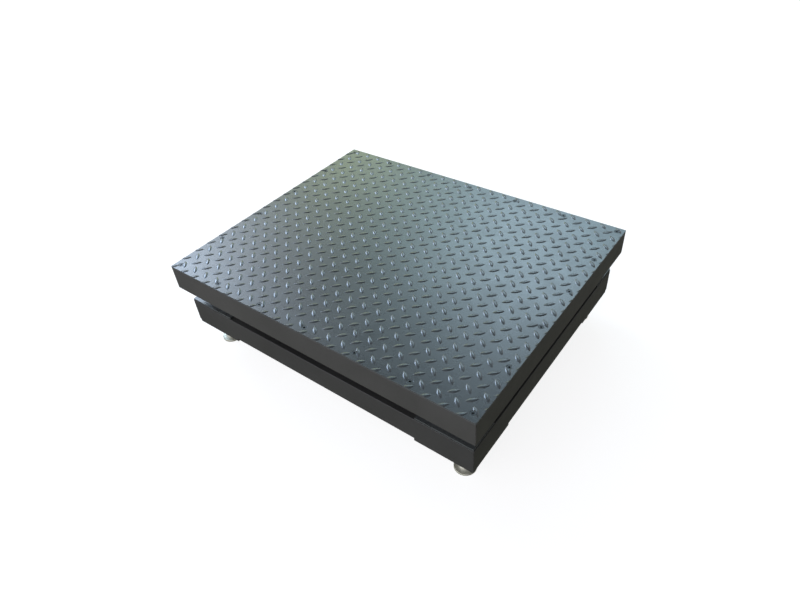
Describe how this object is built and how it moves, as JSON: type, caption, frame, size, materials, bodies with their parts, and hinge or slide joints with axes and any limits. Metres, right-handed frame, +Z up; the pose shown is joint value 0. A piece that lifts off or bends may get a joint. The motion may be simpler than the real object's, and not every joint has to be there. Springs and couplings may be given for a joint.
{
  "type": "animal weighing scale",
  "caption": "Low floor scale for weighing animals: a tread-plate deck on a steel channel frame, carried by corner load cells on a lower frame with levelling feet.",
  "frame": {"origin": "on the floor, under the middle of the deck", "axes": "+X along the long side, +Y to the rear, +Z up"},
  "size_m": [1.2, 0.975, 0.356],
  "materials": {
    "deck_paint": "satin grey-blue paint over steel tread plate",
    "frame_paint": "dark grey satin paint on rolled channel",
    "inside_paint": "dark grey paint, matte where the gun reached less",
    "nickel": "nickel-plated alloy steel",
    "hard_steel": "hardened and ground steel",
    "zinc": "dull cream zinc plating",
    "box_grey": "grey powder coat on a cast box",
    "circuit_board": "green solder mask with plastic terminal blocks",
    "nylon": "black nylon",
    "cable_jacket": "black cable jacket"
  },
  "bodies": {
    "base": {"base_rail_front": "frame_paint", "base_rail_right": "frame_paint", "base_rail_rear": "frame_paint", "base_rail_left": "frame_paint", "foot_plate_front_left": "frame_paint", "cell_mount_plate_front_left": "inside_paint", "load_cell_front_left": "nickel", "ball_stud_front_left": "hard_steel", "cell_cable_front_left": "cable_jacket", "foot_plate_front_right": "frame_paint", "cell_mount_plate_front_right": "inside_paint", "load_cell_front_right": "nickel", "ball_stud_front_right": "hard_steel", "cell_cable_front_right": "cable_jacket", "foot_plate_rear_left": "frame_paint", "cell_mount_plate_rear_left": "inside_paint", "load_cell_rear_left": "nickel", "ball_stud_rear_left": "hard_steel", "cell_cable_rear_left": "cable_jacket", "foot_plate_rear_right": "frame_paint", "cell_mount_plate_rear_right": "inside_paint", "load_cell_rear_right": "nickel", "ball_stud_rear_right": "hard_steel", "cell_cable_rear_right": "cable_jacket", "base_cross_member_left": "inside_paint", "base_cross_member_right": "inside_paint", "junction_box": "box_grey", "junction_box_lid": "box_grey", "summing_board": "circuit_board", "outlet_gland": "nylon"},
    "deck": {"deck_plate": "deck_paint", "deck_rail_front": "frame_paint", "deck_rail_right": "frame_paint", "deck_rail_rear": "frame_paint", "deck_rail_left": "frame_paint", "deck_rib_1": "inside_paint", "deck_rib_2": "inside_paint", "deck_rib_3": "inside_paint", "deck_rib_4": "inside_paint", "deck_corner_plate_front_left": "inside_paint", "load_cup_front_left": "hard_steel", "deck_corner_plate_front_right": "inside_paint", "load_cup_front_right": "hard_steel", "deck_corner_plate_rear_left": "inside_paint", "load_cup_rear_left": "hard_steel", "deck_corner_plate_rear_right": "inside_paint", "load_cup_rear_right": "hard_steel"},
    "foot_front_left": {"foot_stud_front_left": "zinc"},
    "pad_front_left": {"foot_pad_front_left": "zinc"},
    "nut_front_left": {"jam_nut_front_left": "zinc"},
    "foot_front_right": {"foot_stud_front_right": "zinc"},
    "pad_front_right": {"foot_pad_front_right": "zinc"},
    "nut_front_right": {"jam_nut_front_right": "zinc"},
    "foot_rear_left": {"foot_stud_rear_left": "zinc"},
    "pad_rear_left": {"foot_pad_rear_left": "zinc"},
    "nut_rear_left": {"jam_nut_rear_left": "zinc"},
    "foot_rear_right": {"foot_stud_rear_right": "zinc"},
    "pad_rear_right": {"foot_pad_rear_right": "zinc"},
    "nut_rear_right": {"jam_nut_rear_right": "zinc"}
  },
  "joints": [
    {"name": "deck_lift", "type": "slide", "parent": "base", "child": "deck", "axis": [0, 0, 1], "range_m": [0, 0.12]},
    {"name": "foot_height_front_left", "type": "slide", "parent": "base", "child": "foot_front_left", "axis": [0, 0, 1], "range_m": [-0.03, 0.028]},
    {"name": "pad_tilt_front_left", "type": "hinge", "parent": "foot_front_left", "child": "pad_front_left", "pos_m": [-0.515, -0.3965, 0.02], "axis": [1, 0, 0], "range_deg": [-10, 10]},
    {"name": "jam_nut_turn_front_left", "type": "hinge", "parent": "base", "child": "nut_front_left", "pos_m": [-0.515, -0.3965, 0.0887], "axis": [0, 0, 1], "continuous": true},
    {"name": "foot_height_front_right", "type": "slide", "parent": "base", "child": "foot_front_right", "axis": [0, 0, 1], "range_m": [-0.03, 0.028]},
    {"name": "pad_tilt_front_right", "type": "hinge", "parent": "foot_front_right", "child": "pad_front_right", "pos_m": [0.515, -0.3965, 0.02], "axis": [1, 0, 0], "range_deg": [-10, 10]},
    {"name": "jam_nut_turn_front_right", "type": "hinge", "parent": "base", "child": "nut_front_right", "pos_m": [0.515, -0.3965, 0.0887], "axis": [0, 0, 1], "continuous": true},
    {"name": "foot_height_rear_left", "type": "slide", "parent": "base", "child": "foot_rear_left", "axis": [0, 0, 1], "range_m": [-0.03, 0.028]},
    {"name": "pad_tilt_rear_left", "type": "hinge", "parent": "foot_rear_left", "child": "pad_rear_left", "pos_m": [-0.515, 0.3965, 0.02], "axis": [1, 0, 0], "range_deg": [-10, 10]},
    {"name": "jam_nut_turn_rear_left", "type": "hinge", "parent": "base", "child": "nut_rear_left", "pos_m": [-0.515, 0.3965, 0.0887], "axis": [0, 0, 1], "continuous": true},
    {"name": "foot_height_rear_right", "type": "slide", "parent": "base", "child": "foot_rear_right", "axis": [0, 0, 1], "range_m": [-0.03, 0.028]},
    {"name": "pad_tilt_rear_right", "type": "hinge", "parent": "foot_rear_right", "child": "pad_rear_right", "pos_m": [0.515, 0.3965, 0.02], "axis": [1, 0, 0], "range_deg": [-10, 10]},
    {"name": "jam_nut_turn_rear_right", "type": "hinge", "parent": "base", "child": "nut_rear_right", "pos_m": [0.515, 0.3965, 0.0887], "axis": [0, 0, 1], "continuous": true}
  ]
}
